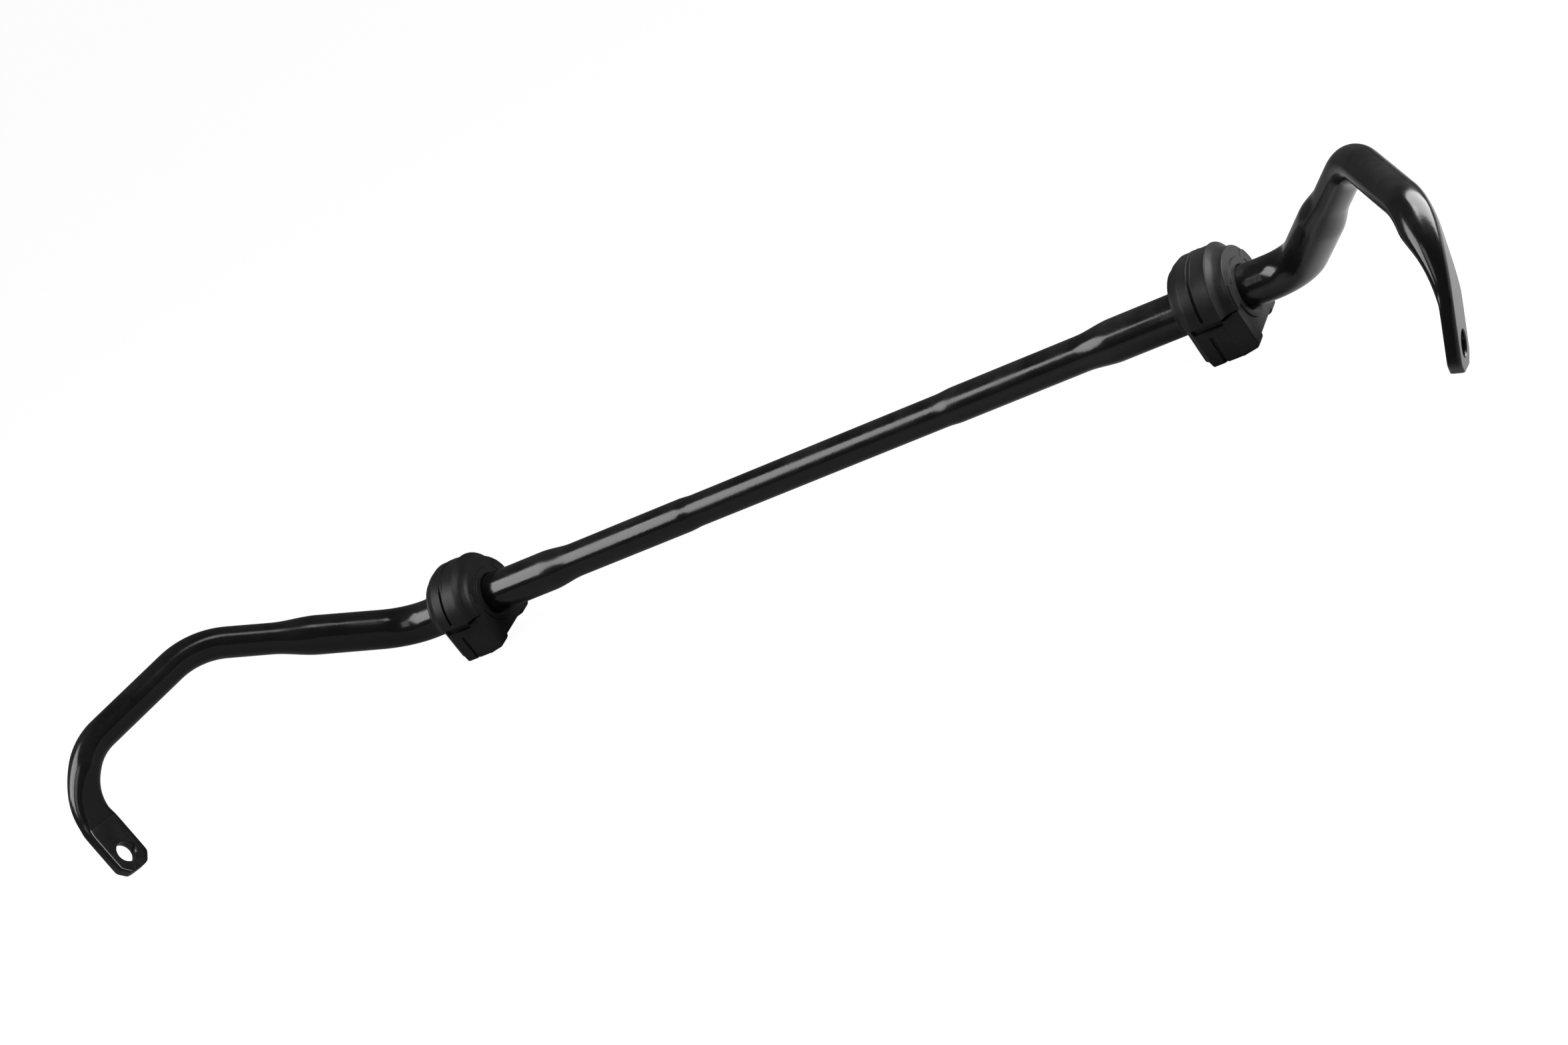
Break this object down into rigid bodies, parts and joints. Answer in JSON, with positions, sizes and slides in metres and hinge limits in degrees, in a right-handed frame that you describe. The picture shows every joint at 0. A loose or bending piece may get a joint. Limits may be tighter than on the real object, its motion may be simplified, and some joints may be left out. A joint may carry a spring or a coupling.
{
  "type": "sway bar",
  "caption": "Black tubular automotive sway bar with bent arms, flattened drilled link ends and split rubber bushes on the shaft.",
  "frame": {"origin": "middle of the underside of the whole part, level with the bush feet", "axes": "+X along the shaft towards the right arm, -Y towards the arm ends, +Z from the bush feet towards the domed halves"},
  "size_m": [0.9042, 0.2198, 0.1076],
  "materials": {
    "bar_paint": "gloss",
    "bush_rubber": "matte",
    "stiffener_steel": "satin"
  },
  "bodies": {
    "bar": {"bar": "bar_paint"},
    "left_bush": {"left_bush_upper": "bush_rubber", "left_stiffener_upper": "stiffener_steel", "left_bush_lower": "bush_rubber", "left_stiffener_lower": "stiffener_steel"},
    "right_bush": {"right_bush_upper": "bush_rubber", "right_stiffener_upper": "stiffener_steel", "right_bush_lower": "bush_rubber", "right_stiffener_lower": "stiffener_steel"}
  },
  "joints": [
    {"name": "left_bush_twist", "type": "hinge", "parent": "bar", "child": "left_bush", "pos_m": [-0.25985, 0.08176, 0.0266], "axis": [1, 0, 0], "range_deg": [-25, 25], "stiffness_Nm_per_rad": 60},
    {"name": "right_bush_twist", "type": "hinge", "parent": "bar", "child": "right_bush", "pos_m": [0.26235, 0.08176, 0.0266], "axis": [1, 0, 0], "range_deg": [-25, 25], "stiffness_Nm_per_rad": 60}
  ]
}
